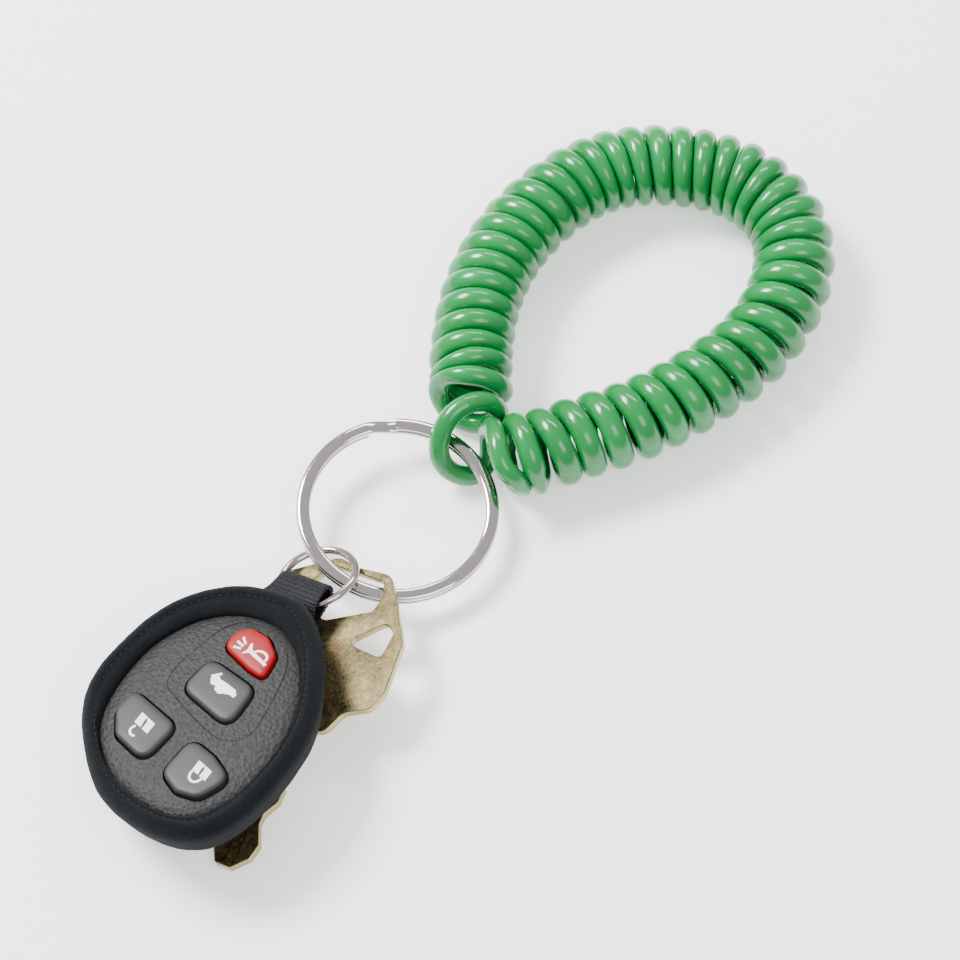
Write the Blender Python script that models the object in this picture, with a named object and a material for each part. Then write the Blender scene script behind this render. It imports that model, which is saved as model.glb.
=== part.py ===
"""Coil wristband key holder: a closed loop of coiled cord with a split ring, a
jump ring, a key, and a four-button car remote in a felt sleeve.

Metres, +Z up.  Everything lies on the plane z = 0, with the origin in the
middle of the footprint.  The coiled loop is one endless helix.  It is cut into
rigid lengths that slide apart from each other when the loop is stretched.
"""

import math

import bmesh
import bpy
from mathutils import Matrix, Vector

MM = 0.001
GAP = 0.3  # clearance that touching pieces keep, in mm
LAYOUT = (1.3, 3.08, 0.44)  # the layout's own zero, seen from the middle of the footprint

# ---- coiled loop (mm) -------------------------------------------------------
CORD_D = 3.6
COIL_OUTER_D = 14.9
HOOK_TURNS = 1
SEGMENTS = 10
SEGMENT_TURNS = 4
TURN_STEPS = 14  # stations of the cord in one turn
CORD_SIDES = 8
HOOK_LEAN = 10.6  # degrees that the turn round the split ring leans forward
HOOK_REACH = 5.5  # length of the loop over which that lean fades out

# Middle line of the loop, clockwise from under the turn that holds the split ring:
# x, y, and how many turns of cord lie before that point.
LOOP = [
    (-1.0, 0.7, 0.0),
    (-1.6, 2.6, 0.25),
    (-2.4, 6.5, 0.5),
    (-2.4, 10.0, 0.8),
    (-1.7, 13.3, 1.5),
    (-1.6, 20.6, 3.4),
    (1.1, 36.0, 7.1),
    (7.4, 48.0, 10.4),
    (16.4, 57.0, 13.2),
    (26.8, 61.6, 16.1),
    (38.3, 61.5, 18.9),
    (49.5, 57.0, 22.0),
    (56.0, 47.3, 24.8),
    (55.0, 34.5, 27.6),
    (48.7, 23.4, 30.0),
    (39.0, 14.8, 32.5),
    (28.0, 8.2, 35.1),
    (15.5, 3.5, 37.8),
    (9.6, 1.3, 39.1),
    (5.2, 0.4, 40.0),
    (2.6, -0.5, 40.55),
    (0.1, 0.3, 40.72),
]

# ---- split ring (mm) --------------------------------------------------------
RING_OUTER_D = 35.0
RING_WIRE_W = 2.3
RING_WIRE_H = 1.15
RING_LAYER_GAP = 0.1
RING_CENTRE = (-14.2, -9.4, 5.85)
RING_FALL_HEADING = -55.0  # compass heading of the ring's downhill side, degrees
RING_SLOPE = 4.4  # degrees
RING_CROSSOVER_HEADING = 92.0
RING_CROSSOVER_SPAN = 18.0

# ---- jump ring (mm) ---------------------------------------------------------
JUMP_OUTER_D = 14.8
JUMP_WIRE_D = 1.4
JUMP_CENTRE = (-27.7, -22.7, 6.15)
JUMP_SLOPE_X = 0.26
JUMP_SLOPE_Y = -0.35
JUMP_SPLIT_HEADING = 52.0
JUMP_SPLIT = 4.0  # degrees left open at the butt joint

# ---- key (mm) ---------------------------------------------------------------
KEY_THICK = 1.4
KEY_TIP = (-41.3, -74.9)
KEY_HEADING = 68.6  # from the tip to the bow, degrees
KEY_ROLL = 19.0  # its right edge rides up over the split ring, degrees
KEY_PITCH = 3.2
KEY_TIP_Z = 1.45
BLADE_W = 8.4
BLADE_LENGTH = 29.6
BOW_LENGTH = 28.9
BOW_W = 29.0
BOW_BAR = 2.4  # metal left above the ring hole

# ---- remote and sleeve (mm), in the remote's own frame ------------------------
# u runs to the right across the face, v towards the strap, w out of the face.
REMOTE_ORIGIN = (-45.9, -50.3, 3.2)
REMOTE_HEADING = 56.0
REMOTE_ROLL = 11.5
SLEEVE_WIDEST = 8.0  # height at which the sleeve is widest
SLEEVE_TOP = 10.3
SLEEVE_BOTTOM_INSET = 3.0
FELT = 1.6
BINDING_W = 1.9
CASE_BASE = 1.95
CASE_SPLIT = 5.2
FACE_EDGE = 8.7
FACE_CROWN = 9.6
CASE_WALL = 1.2
CASE_LIP = 0.3  # how far the case reaches under the sleeve's front
BUTTON_TRAVEL = 0.6
BUTTON_GAP = 0.35
BUTTON_PROUD = 0.9

SLEEVE_OUTLINE = [
    (2.0, 25.2), (-8.2, 22.2), (-15.6, 14.4), (-18.5, 4.5), (-18.4, -5.4),
    (-13.4, -13.8), (-3.4, -21.7), (8.0, -23.3), (16.4, -20.4), (20.6, -13.0),
    (21.8, -3.0), (20.4, 7.0), (15.2, 16.4), (8.6, 23.0),
]
WINDOW_OUTLINE = [
    (2.0, 19.2), (-5.2, 17.2), (-10.4, 12.2), (-13.6, 4.5), (-13.6, -5.0),
    (-10.8, -12.5), (-4.2, -17.6), (3.8, -19.6), (11.2, -18.9), (16.2, -14.0),
    (18.5, -6.0), (17.9, 3.0), (14.4, 11.4), (8.6, 17.2),
]
BUTTON_OUTLINES = {
    "panic": [(-1.6, 10.9), (-1.4, 14.4), (0.6, 16.2), (4.4, 16.0), (7.7, 13.6), (8.5, 8.8), (5.2, 9.1)],
    "trunk": [(-2.9, 0.8), (-2.1, 8.1), (8.6, 6.7), (9.0, -1.7)],
    "unlock": [(-9.8, -3.1), (-10.3, -7.8), (-7.2, -11.9), (0.3, -13.7), (1.3, -5.4)],
    "lock": [(4.6, -6.0), (4.1, -13.9), (8.6, -15.7), (12.6, -14.9), (15.4, -9.3), (10.2, -7.0)],
}
BUTTON_CORNER = 1.7

STRAP_W = 11.4
STRAP_THICK = 0.9
STRAP_TAPER = 0.9  # each edge draws in by this much to pass through the jump ring
STRAP_FOLD_V = 31.8  # how far from the remote's origin the strap folds round the jump ring
STRAP_ROOT_V = 24.6
STRAP_MID_U = 0.1
STRAP_MID_W = 3.7
STRAP_FOLD_W = 2.8  # the strap's loop, face to face
STRAP_TWIST = 11.0  # degrees that the loop turns to lie along the jump ring


# ---- small helpers ------------------------------------------------------------
def clear_scene():
    for old in list(bpy.data.objects):
        bpy.data.objects.remove(old, do_unlink=True)


def new_collection(name):
    made = bpy.data.collections.new(name)
    bpy.context.scene.collection.children.link(made)
    return made


def new_material(name, colour, roughness, metallic=0.0):
    made = bpy.data.materials.new(name)
    made.use_nodes = True
    shader = made.node_tree.nodes["Principled BSDF"]
    shader.inputs["Base Color"].default_value = (*colour, 1.0)
    shader.inputs["Roughness"].default_value = roughness
    shader.inputs["Metallic"].default_value = metallic
    return made


def place(name, mesh, material, collection, parent=None):
    thing = bpy.data.objects.new(name, mesh)
    thing.data.materials.append(material)
    thing.parent = parent
    collection.objects.link(thing)
    return thing


def world(x, y, z):
    return Vector(((x + LAYOUT[0]) * MM, (y + LAYOUT[1]) * MM, (z + LAYOUT[2]) * MM))


def empty_at(name, matrix, collection):
    guide = bpy.data.objects.new(name, None)
    guide.matrix_world = matrix
    guide.empty_display_size = 0.01
    collection.objects.link(guide)
    return guide


def loft(name, rings, close_ends=True, cyclic=False):
    """A closed body through rings of points, each ring as long as the first."""
    bm = bmesh.new()
    rows = [[bm.verts.new(point) for point in ring] for ring in rings]
    count = len(rows[0])
    spans = len(rows) if cyclic else len(rows) - 1
    for index in range(spans):
        low = rows[index]
        high = rows[(index + 1) % len(rows)]
        for side in range(count):
            after = (side + 1) % count
            bm.faces.new((low[side], low[after], high[after], high[side]))
    if close_ends and not cyclic:
        bm.faces.new(reversed(rows[0]))
        bm.faces.new(rows[-1])
    bmesh.ops.recalc_face_normals(bm, faces=bm.faces)
    mesh = bpy.data.meshes.new(name)
    bm.to_mesh(mesh)
    bm.free()
    mesh.shade_smooth()
    mesh.set_sharp_from_angle(angle=math.radians(40))
    return mesh


def smooth_loop(points, steps):
    """Points on a closed Catmull-Rom curve through the given ones."""
    made = []
    count = len(points)
    for index in range(count):
        p0, p1, p2, p3 = (Vector(points[(index + k) % count]) for k in (-1, 0, 1, 2))
        for step in range(steps):
            t = step / steps
            made.append(
                0.5 * (2 * p1 + (p2 - p0) * t + (2 * p0 - 5 * p1 + 4 * p2 - p3) * t * t
                       + (3 * p1 - p0 - 3 * p2 + p3) * t * t * t)
            )
    return made


def rounded(corners, radius, steps=4):
    """A closed outline with each corner of a polygon rounded."""
    made = []
    count = len(corners)
    for index in range(count):
        before, corner, after = (Vector(corners[(index + k) % count]) for k in (-1, 0, 1))
        back = (before - corner).normalized()
        ahead = (after - corner).normalized()
        half = back.angle(ahead) / 2
        limit = 0.48 * min((before - corner).length, (after - corner).length)
        reach = min(radius / math.tan(half), limit)
        start = corner + back * reach
        end = corner + ahead * reach
        for step in range(steps + 1):
            t = step / steps
            made.append(start.lerp(corner, t).lerp(corner.lerp(end, t), t))
    return made


def inset(outline, distance):
    """The outline moved inwards by a distance, outwards where it is negative."""
    count = len(outline)
    area = sum(outline[i].x * outline[(i + 1) % count].y - outline[(i + 1) % count].x * outline[i].y
               for i in range(count))
    turn = 1 if area > 0 else -1
    made = []
    for index in range(count):
        along = (outline[(index + 1) % count] - outline[index - 1]).normalized()
        inward = Vector((-along.y, along.x)) * turn
        made.append(outline[index] + inward * distance)
    return made


def stack(name, outline, profile, cyclic=False):
    """A body whose sections are the outline, inset and raised by each (inset, height)."""
    rings = []
    for distance, height in profile:
        rings.append([(p.x * MM, p.y * MM, height * MM) for p in inset(outline, distance)])
    return loft(name, rings, cyclic=cyclic)


def cut(target, cutter_mesh, cutters, name):
    """Takes the cutter's shape out of the target with a live Boolean."""
    cutter = bpy.data.objects.new(name, cutter_mesh)
    cutter.parent = target.parent
    cutter.hide_render = True
    cutter.display_type = "WIRE"
    cutters.objects.link(cutter)
    change = target.modifiers.new(name, "BOOLEAN")
    change.operation = "DIFFERENCE"
    change.solver = "EXACT"
    change.object = cutter


# ---- coiled loop ----------------------------------------------------------------
class LoopLine:
    """The middle line of the loop as a smooth closed curve over the number of turns."""

    def __init__(self):
        self.wanted = HOOK_TURNS + SEGMENTS * SEGMENT_TURNS
        self.radius = (COIL_OUTER_D - CORD_D) / 2
        self.axis_z = COIL_OUTER_D / 2

    def knot(self, index):
        laps, row = divmod(index, len(LOOP))
        x, y, turn = LOOP[row]
        return Vector((x, y)), turn + laps * self.wanted

    def slope(self, index):
        (p0, t0), (p1, t1), (p2, t2) = (self.knot(index + k) for k in (-1, 0, 1))
        before, after = t1 - t0, t2 - t1
        return ((p2 - p1) / after * before + (p1 - p0) / before * after) / (before + after)

    def at(self, turn):
        """Middle point of the loop at that turn, and the loop's direction there."""
        turn %= self.wanted
        index = max(k for k, row in enumerate(LOOP) if row[2] <= turn)
        (p0, t0), (p1, t1) = self.knot(index), self.knot(index + 1)
        span = t1 - t0
        m0, m1 = self.slope(index) * span, self.slope(index + 1) * span
        t = (turn - t0) / span
        point = (p0 * (2 * t**3 - 3 * t**2 + 1) + m0 * (t**3 - 2 * t**2 + t)
                 + p1 * (3 * t**2 - 2 * t**3) + m1 * (t**3 - t**2))
        drift = (p0 * (6 * t**2 - 6 * t) + m0 * (3 * t**2 - 4 * t + 1)
                 + p1 * (6 * t - 6 * t**2) + m1 * (3 * t**2 - 2 * t))
        return point, drift.normalized()

    def cord(self, turn):
        """A point in the middle of the cord; whole turns lie underneath the loop."""
        point, heading = self.at(turn)
        outward = Vector((-heading.y, heading.x))
        angle = 2 * math.pi * turn - math.pi / 2
        nearest = (turn + self.wanted / 2) % self.wanted - self.wanted / 2
        lean = math.radians(HOOK_LEAN) * math.exp(-((nearest - 0.5) * 5.0 / HOOK_REACH) ** 2 * 2)
        side = self.radius * math.cos(angle)
        rise = self.radius * math.sin(angle)
        flat = point + outward * side + heading * (rise * math.sin(lean))
        return Vector((flat.x, flat.y, self.axis_z + rise * math.cos(lean)))

    def spacing(self, turn):
        """Distance between this point of the cord and the same point a turn on or back."""
        here = self.cord(turn)
        return min((self.cord(turn + 1) - here).length, (self.cord(turn - 1) - here).length)


def cord_mesh(line, name, first, last):
    """One length of the cord, squeezed where the inside of a bend crowds its turns."""
    trim = 0.5 * GAP / (2 * math.pi * line.radius)
    first += trim
    last -= trim
    stations = round((last - first) * TURN_STEPS)
    rings = []
    for station in range(stations + 1):
        turn = first + (last - first) * station / stations
        here = line.cord(turn)
        along = (line.cord(turn + 0.01) - line.cord(turn - 0.01)).normalized()
        across = (line.at(turn + 0.5)[0] - line.at(turn - 0.5)[0]).to_3d()
        across = (across - along * across.dot(along)).normalized()
        outward = along.cross(across)
        width = min(CORD_D, line.spacing(turn) - GAP)
        ring = []
        for side in range(CORD_SIDES):
            angle = 2 * math.pi * (side + 0.5) / CORD_SIDES
            point = here + outward * (math.cos(angle) * CORD_D / 2) + across * (math.sin(angle) * width / 2)
            ring.append(world(*point))
        rings.append(ring)
    return loft(name, rings)


def segment_ranges():
    """First and last turn of each rigid length of the loop."""
    ranges = {"coil_hook_turn": (0.0, float(HOOK_TURNS))}
    for index in range(SEGMENTS):
        first = HOOK_TURNS + index * SEGMENT_TURNS
        ranges[f"coil_turns_{index + 1:02d}"] = (float(first), float(first + SEGMENT_TURNS))
    return ranges


def build_loop(collection):
    plastic = new_material("green_cord", (0.015, 0.37, 0.11), 0.28)
    line = LoopLine()
    for name, (first, last) in segment_ranges().items():
        place(name, cord_mesh(line, name, first, last), plastic, collection)
    return line


# ---- rings ------------------------------------------------------------------------
def ring_frame():
    """Where the split ring lies: its own z is its axis, its own x points downhill."""
    turn = Matrix.Rotation(math.radians(RING_FALL_HEADING), 4, "Z")
    tip = Matrix.Rotation(math.radians(RING_SLOPE), 4, "Y")
    return Matrix.Translation(world(*RING_CENTRE)) @ turn @ tip


def build_split_ring(collection, chrome):
    frame = ring_frame()
    guide = empty_at("split_ring_frame", frame, collection)
    radius = (RING_OUTER_D - RING_WIRE_W) / 2
    step = (RING_WIRE_H + RING_LAYER_GAP) / 2
    start = RING_CROSSOVER_HEADING - RING_FALL_HEADING + RING_CROSSOVER_SPAN
    sweep = 2 * (360 - RING_CROSSOVER_SPAN) + RING_CROSSOVER_SPAN
    first_layer = 360 - RING_CROSSOVER_SPAN
    corner = 0.3
    half_w, half_h = RING_WIRE_W / 2, RING_WIRE_H / 2
    section = [
        (half_w, half_h - corner), (half_w - corner, half_h), (corner - half_w, half_h),
        (-half_w, half_h - corner), (-half_w, corner - half_h), (corner - half_w, -half_h),
        (half_w - corner, -half_h), (half_w, corner - half_h),
    ]
    rings = []
    stations = 117
    for station in range(stations + 1):
        angle = sweep * station / stations
        rise = min(1.0, max(0.0, (angle - first_layer) / RING_CROSSOVER_SPAN))
        height = step * (2 * rise * rise * (3 - 2 * rise) - 1)
        heading = math.radians(start + angle)
        out = Vector((math.cos(heading), math.sin(heading), 0))
        rings.append([(out * (radius + u) + Vector((0, 0, height + w))) * MM for u, w in section])
    place("split_ring", loft("split_ring", rings), chrome, collection, guide)
    return guide


def build_jump_ring(collection, chrome):
    radius = (JUMP_OUTER_D - JUMP_WIRE_D) / 2
    normal = Vector((-JUMP_SLOPE_X, -JUMP_SLOPE_Y, 1)).normalized()
    frame = Matrix.Translation(world(*JUMP_CENTRE)) @ Vector((0, 0, 1)).rotation_difference(normal).to_matrix().to_4x4()
    guide = empty_at("jump_ring_frame", frame, collection)
    rings = []
    stations = 40
    sides = 8
    for station in range(stations + 1):
        heading = math.radians(JUMP_SPLIT_HEADING + JUMP_SPLIT / 2 + (360 - JUMP_SPLIT) * station / stations)
        out = Vector((math.cos(heading), math.sin(heading), 0))
        ring = []
        for side in range(sides):
            angle = 2 * math.pi * (side + 0.5) / sides
            offset = out * (radius + math.cos(angle) * JUMP_WIRE_D / 2)
            ring.append((offset + Vector((0, 0, math.sin(angle) * JUMP_WIRE_D / 2))) * MM)
        rings.append(ring)
    place("jump_ring", loft("jump_ring", rings), chrome, collection, guide)
    return guide


# ---- key --------------------------------------------------------------------------
def key_frame():
    """Origin under the tip, y along the blade towards the bow, z out of the top face."""
    turn = Matrix.Rotation(math.radians(KEY_HEADING - 90), 4, "Z")
    pitch = Matrix.Rotation(math.radians(KEY_PITCH), 4, "X")
    roll = Matrix.Rotation(math.radians(-KEY_ROLL), 4, "Y")
    return Matrix.Translation(world(*KEY_TIP, KEY_TIP_Z)) @ turn @ pitch @ roll


def key_outline():
    """Blade with its cuts along the right edge, and the bow, as corners to be rounded."""
    half = BLADE_W / 2
    blade = [(-half, BLADE_LENGTH - 2.0), (-half, 3.8), (-2.4, 0.4), (0.8, 0.0), (half - 0.6, 2.4),
             (half, 5.0), (half - 1.6, 8.6), (half - 1.6, 10.4), (half, 13.0), (half, 15.6),
             (half - 1.9, 18.0), (half - 1.9, 19.6), (half - 0.4, 21.6), (half - 1.2, 23.4),
             (half, 25.2), (half, BLADE_LENGTH - 3.0)]
    low, wide, tall = BLADE_LENGTH, BOW_W / 2, BLADE_LENGTH + BOW_LENGTH
    head = [(half + 2.4, low - 3.0), (half + 4.6, low + 1.6), (wide - 1.2, low + 3.2), (wide, low + 6.8),
            (wide - 0.6, low + 16.2), (wide - 4.9, low + 23.4), (6.4, tall - 0.6), (-0.6, tall - 0.3),
            (-4.4, tall + 1.0), (-wide + 0.2, tall - 4.0),
            (1.2 - wide, low + 14.0), (3.4 - wide, low + 5.6), (-half - 4.4, low + 1.4), (-half - 2.2, low - 1.0)]
    return blade, head


def build_key(collection, cutters):
    brass = new_material("worn_brass", (0.27, 0.22, 0.09), 0.42, 0.9)
    guide = empty_at("key_frame", key_frame(), collection)
    blade, head = key_outline()
    outline = [Vector(p) for p in blade] + rounded(head, 2.0, 3)
    mesh = stack("key", outline, [(0.0, 0.0), (0.0, KEY_THICK)])
    key = place("key", mesh, brass, collection, guide)
    bar = BLADE_LENGTH + BOW_LENGTH - BOW_BAR
    hole = rounded([(-8.8, bar - 7.4), (-7.4, bar - 1.6), (-4.8, bar + 1.6), (5.7, bar + 0.3), (6.4, bar - 3.4),
                    (5.8, bar - 5.6), (-2.0, bar - 8.8)], 0.9, 3)
    opening = [(0.0, -1.0), (0.0, KEY_THICK + 1.0)]
    cut(key, stack("ring_hole_cutter", hole, opening), cutters, "ring_hole_cutter")
    eye = rounded([(3.6, bar - 12.2), (9.4, bar - 7.2), (11.4, bar - 8.8), (11.0, bar - 13.8)], 1.0, 3)
    cut(key, stack("eye_cutter", eye, opening), cutters, "eye_cutter")
    return guide


# ---- remote and sleeve ---------------------------------------------------------------
def remote_frame():
    """x to the right across the face, y towards the strap, z out of the face."""
    turn = Matrix.Rotation(math.radians(REMOTE_HEADING - 90), 4, "Z")
    roll = Matrix.Rotation(math.radians(-REMOTE_ROLL), 4, "Y")
    return Matrix.Translation(world(*REMOTE_ORIGIN)) @ turn @ roll


def build_sleeve(collection, guide):
    felt = new_material("navy_felt", (0.012, 0.02, 0.03), 0.95)
    webbing = new_material("black_webbing", (0.01, 0.012, 0.016), 0.8)
    outline = smooth_loop(SLEEVE_OUTLINE, 4)
    window = smooth_loop(WINDOW_OUTLINE, 4)
    low = SLEEVE_BOTTOM_INSET
    top = SLEEVE_TOP
    inner = BINDING_W
    binding = [
        (low + 0.2, 1.2), (low - 1.6, 2.6), (0.8, 5.0), (0.0, SLEEVE_WIDEST - 0.8), (0.0, SLEEVE_WIDEST + 0.6),
        (0.7, top - 0.6), (1.6, top), (inner, top - 0.4), (inner, 5.0), (low - 0.4, 3.0), (low + 0.9, 1.9),
    ]
    place("sleeve_binding", stack("sleeve_binding", outline, binding, cyclic=True), felt, collection, guide)
    back = [(low + 2.6, 0.0), (low + 1.0, 0.0), (low + 0.9, 0.9), (low + 1.9, 1.0), (low + 2.2, FELT)]
    place("sleeve_back", stack("sleeve_back", outline, back), felt, collection, guide)
    rings = []
    outer = inset(outline, inner + GAP)
    for points, height in ((outer, top - FELT), (outer, top - 0.5), (outer, top - 0.3), (window, top - 0.9),
                           (window, top - FELT)):
        rings.append([(p.x * MM, p.y * MM, height * MM) for p in points])
    place("sleeve_front", loft("sleeve_front", rings, cyclic=True), felt, collection, guide)
    build_strap(collection, guide, webbing)


def build_strap(collection, guide, webbing):
    """Webbing sewn flat into the sleeve, folded round the jump ring and back."""
    half = STRAP_FOLD_W / 2
    mid = STRAP_MID_W
    fold_v = STRAP_FOLD_V - half - STRAP_THICK
    apart = half + STRAP_THICK / 2
    upper = [(STRAP_ROOT_V, 0.62), (STRAP_ROOT_V + 0.5, 0.9), (STRAP_ROOT_V + 1.3, apart)]
    route = [(v, mid + w) for v, w in upper]
    for step in range(9):
        angle = math.radians(90 - 180 * step / 8)
        route.append((fold_v + apart * math.cos(angle), mid + apart * math.sin(angle)))
    route += [(v, mid - w) for v, w in reversed(upper)]
    rings = []
    for index, (v, w) in enumerate(route):
        before = Vector(route[max(index - 1, 0)])
        after = Vector(route[min(index + 1, len(route) - 1)])
        along = (after - before).normalized()
        normal = Vector((-along.y, along.x))
        share = (v - STRAP_ROOT_V) / (STRAP_FOLD_V - STRAP_ROOT_V)
        twist = math.radians(STRAP_TWIST) * min(1.0, max(0.0, share * 3))
        ring = []
        for side, face in ((-1, 1), (1, 1), (1, -1), (-1, -1)):
            point = Vector((v, w)) + normal * (face * STRAP_THICK / 2)
            across = side * (STRAP_W / 2 - STRAP_TAPER * min(1.0, max(0.0, share)))
            ring.append(((STRAP_MID_U + across * math.cos(twist)) * MM, point.x * MM,
                         (point.y + across * math.sin(twist)) * MM))
        rings.append(ring)
    place("strap", loft("strap", rings), webbing, collection, guide)


def build_remote(collection, cutters, guide):
    shell = new_material("grained_case", (0.055, 0.055, 0.06), 0.6)
    rubber = new_material("keypad_rubber", (0.02, 0.02, 0.022), 0.8)
    board_green = new_material("board_laminate", (0.02, 0.16, 0.06), 0.5)
    steel = new_material("cell_steel", (0.62, 0.62, 0.64), 0.3, 1.0)
    grey = new_material("button_grey", (0.13, 0.13, 0.14), 0.5)
    red = new_material("button_red", (0.6, 0.03, 0.04), 0.42)
    case = inset(smooth_loop(WINDOW_OUTLINE, 4), -CASE_LIP)
    face_lip = SLEEVE_TOP - FELT - GAP
    wall = CASE_WALL
    lower = [(2.8, CASE_BASE), (1.3, CASE_BASE + 0.5), (0.3, CASE_BASE + 1.7), (0.0, CASE_SPLIT - 0.6),
             (0.0, CASE_SPLIT), (wall, CASE_SPLIT), (wall + 0.4, CASE_BASE + 2.2), (3.2, CASE_BASE + wall)]
    place("remote_lower_case", stack("remote_lower_case", case, lower), shell, collection, guide)
    upper = [(3.4, FACE_CROWN - wall - 0.1), (2.0, FACE_EDGE - wall + 0.1), (wall, FACE_EDGE - wall - 0.3),
             (wall, CASE_SPLIT + GAP), (0.0, CASE_SPLIT + GAP), (0.0, face_lip - 0.7), (0.5, face_lip),
             (CASE_LIP + GAP, face_lip), (CASE_LIP + GAP + 0.4, FACE_EDGE), (2.9, FACE_EDGE + 0.5),
             (5.5, FACE_CROWN)]
    cover = place("remote_upper_case", stack("remote_upper_case", case, upper), shell, collection, guide)
    board_top = CASE_SPLIT - 0.5
    membrane_low = board_top + 0.5
    membrane_top = membrane_low + 0.7
    inner = inset(case, wall + GAP)
    place("circuit_board", stack("circuit_board", inner, [(0.8, board_top - 0.9), (0.8, board_top)]),
          board_green, collection, guide)
    place("keypad_membrane", stack("keypad_membrane", inner, [(1.2, membrane_low), (1.2, membrane_top)]),
          rubber, collection, guide)
    build_cell(collection, guide, steel, board_top)
    head_low = membrane_top + GAP + BUTTON_TRAVEL
    for label, corners in BUTTON_OUTLINES.items():
        outline = rounded(corners, BUTTON_CORNER)
        top = FACE_CROWN + BUTTON_PROUD
        skirt = [(-0.5, head_low), (-0.5, head_low + 0.45), (0.0, head_low + 0.45), (0.0, top - 0.6),
                 (0.25, top - 0.25), (0.9, top)]
        paint = red if label == "panic" else grey
        place(f"button_{label}", stack(f"button_{label}", outline, skirt), paint, collection, guide)
        opening = stack(f"{label}_cutter", outline, [(-BUTTON_GAP, CASE_SPLIT), (-BUTTON_GAP, FACE_CROWN + 3.0)])
        cut(cover, opening, cutters, f"{label}_cutter")


def build_cell(collection, guide, steel, board_top):
    """Coin cell and its two spring contacts, under the circuit board."""
    low = CASE_BASE + CASE_WALL + GAP
    high = board_top - 0.9 - GAP
    circle = [Vector((1.5 + 7.8 * math.cos(a), -2.0 + 7.8 * math.sin(a)))
              for a in (2 * math.pi * k / 32 for k in range(32))]
    place("coin_cell", stack("coin_cell", circle, [(0.0, low), (0.0, high)]), steel, collection, guide)
    for name, centre in (("contact_plus", (1.5, 8.4)), ("contact_minus", (1.5, -12.2))):
        u, v = centre
        plate = [Vector((u - 2.5, v - 1.6)), Vector((u + 2.5, v - 1.6)), Vector((u + 2.5, v + 1.6)),
                 Vector((u - 2.5, v + 1.6))]
        place(name, stack(name, plate, [(0.0, low), (0.0, high)]), steel, collection, guide)


def main():
    clear_scene()
    parts = new_collection("coil_wristband_key_holder")
    cutters = new_collection("cutters")
    chrome = new_material("chrome_wire", (0.78, 0.76, 0.77), 0.12, 1.0)
    build_loop(parts)
    build_split_ring(parts, chrome)
    build_jump_ring(parts, chrome)
    build_key(parts, cutters)
    guide = empty_at("remote_frame", remote_frame(), parts)
    build_sleeve(parts, guide)
    build_remote(parts, cutters, guide)


main()
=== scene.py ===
import math

import bmesh
import bpy
from mathutils import Matrix, Vector, noise

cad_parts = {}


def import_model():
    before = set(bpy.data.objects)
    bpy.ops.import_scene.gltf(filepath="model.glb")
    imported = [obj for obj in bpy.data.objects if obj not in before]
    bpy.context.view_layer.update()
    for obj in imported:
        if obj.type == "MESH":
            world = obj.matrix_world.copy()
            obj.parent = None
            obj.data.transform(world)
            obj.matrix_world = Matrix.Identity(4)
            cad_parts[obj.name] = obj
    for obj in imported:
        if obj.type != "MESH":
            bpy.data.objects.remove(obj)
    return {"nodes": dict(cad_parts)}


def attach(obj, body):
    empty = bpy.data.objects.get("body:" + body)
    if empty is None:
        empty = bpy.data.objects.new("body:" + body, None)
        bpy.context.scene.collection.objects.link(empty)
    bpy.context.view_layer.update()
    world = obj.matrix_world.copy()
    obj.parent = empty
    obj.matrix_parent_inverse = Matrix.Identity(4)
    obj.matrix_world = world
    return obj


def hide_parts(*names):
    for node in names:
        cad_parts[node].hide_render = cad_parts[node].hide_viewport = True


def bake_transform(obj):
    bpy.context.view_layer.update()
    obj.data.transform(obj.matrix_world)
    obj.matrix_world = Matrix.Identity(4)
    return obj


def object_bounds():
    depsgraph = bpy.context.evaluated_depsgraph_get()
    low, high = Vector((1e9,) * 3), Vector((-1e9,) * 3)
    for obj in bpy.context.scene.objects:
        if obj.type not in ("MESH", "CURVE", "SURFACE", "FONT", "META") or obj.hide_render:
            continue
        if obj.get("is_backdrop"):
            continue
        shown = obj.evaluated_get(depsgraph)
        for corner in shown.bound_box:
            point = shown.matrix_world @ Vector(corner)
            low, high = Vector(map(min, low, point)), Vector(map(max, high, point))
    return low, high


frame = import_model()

CAD_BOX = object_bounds()
MM = 0.001
FLOOR_GLOW = 0.7  # keeps the studio floor white
LAYOUT = (1.3, 3.08, 0.44)  # the layout's own zero, seen from the middle of the footprint


def world(x, y, z):
    return Vector(((x + LAYOUT[0]) * MM, (y + LAYOUT[1]) * MM, (z + LAYOUT[2]) * MM))


# ---- shaders ----------------------------------------------------------------------
class Socket:
    """A shader value that adds, multiplies and mixes with ordinary signs."""

    def __init__(self, paint, output):
        self.paint = paint
        self.output = output

    def math(self, kind, other):
        node = self.paint.node("ShaderNodeMath", operation=kind)
        self.paint.feed(node.inputs[0], self)
        self.paint.feed(node.inputs[1], other)
        return Socket(self.paint, node.outputs[0])

    def __add__(self, other):
        return self.math("ADD", other)

    def __sub__(self, other):
        return self.math("SUBTRACT", other)

    def __mul__(self, other):
        return self.math("MULTIPLY", other)

    def span(self, low, high, start=0.0, end=1.0):
        node = self.paint.node("ShaderNodeMapRange", clamp=True)
        for index, value in enumerate((self, low, high, start, end)):
            self.paint.feed(node.inputs[index], value)
        return Socket(self.paint, node.outputs[0])


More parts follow.
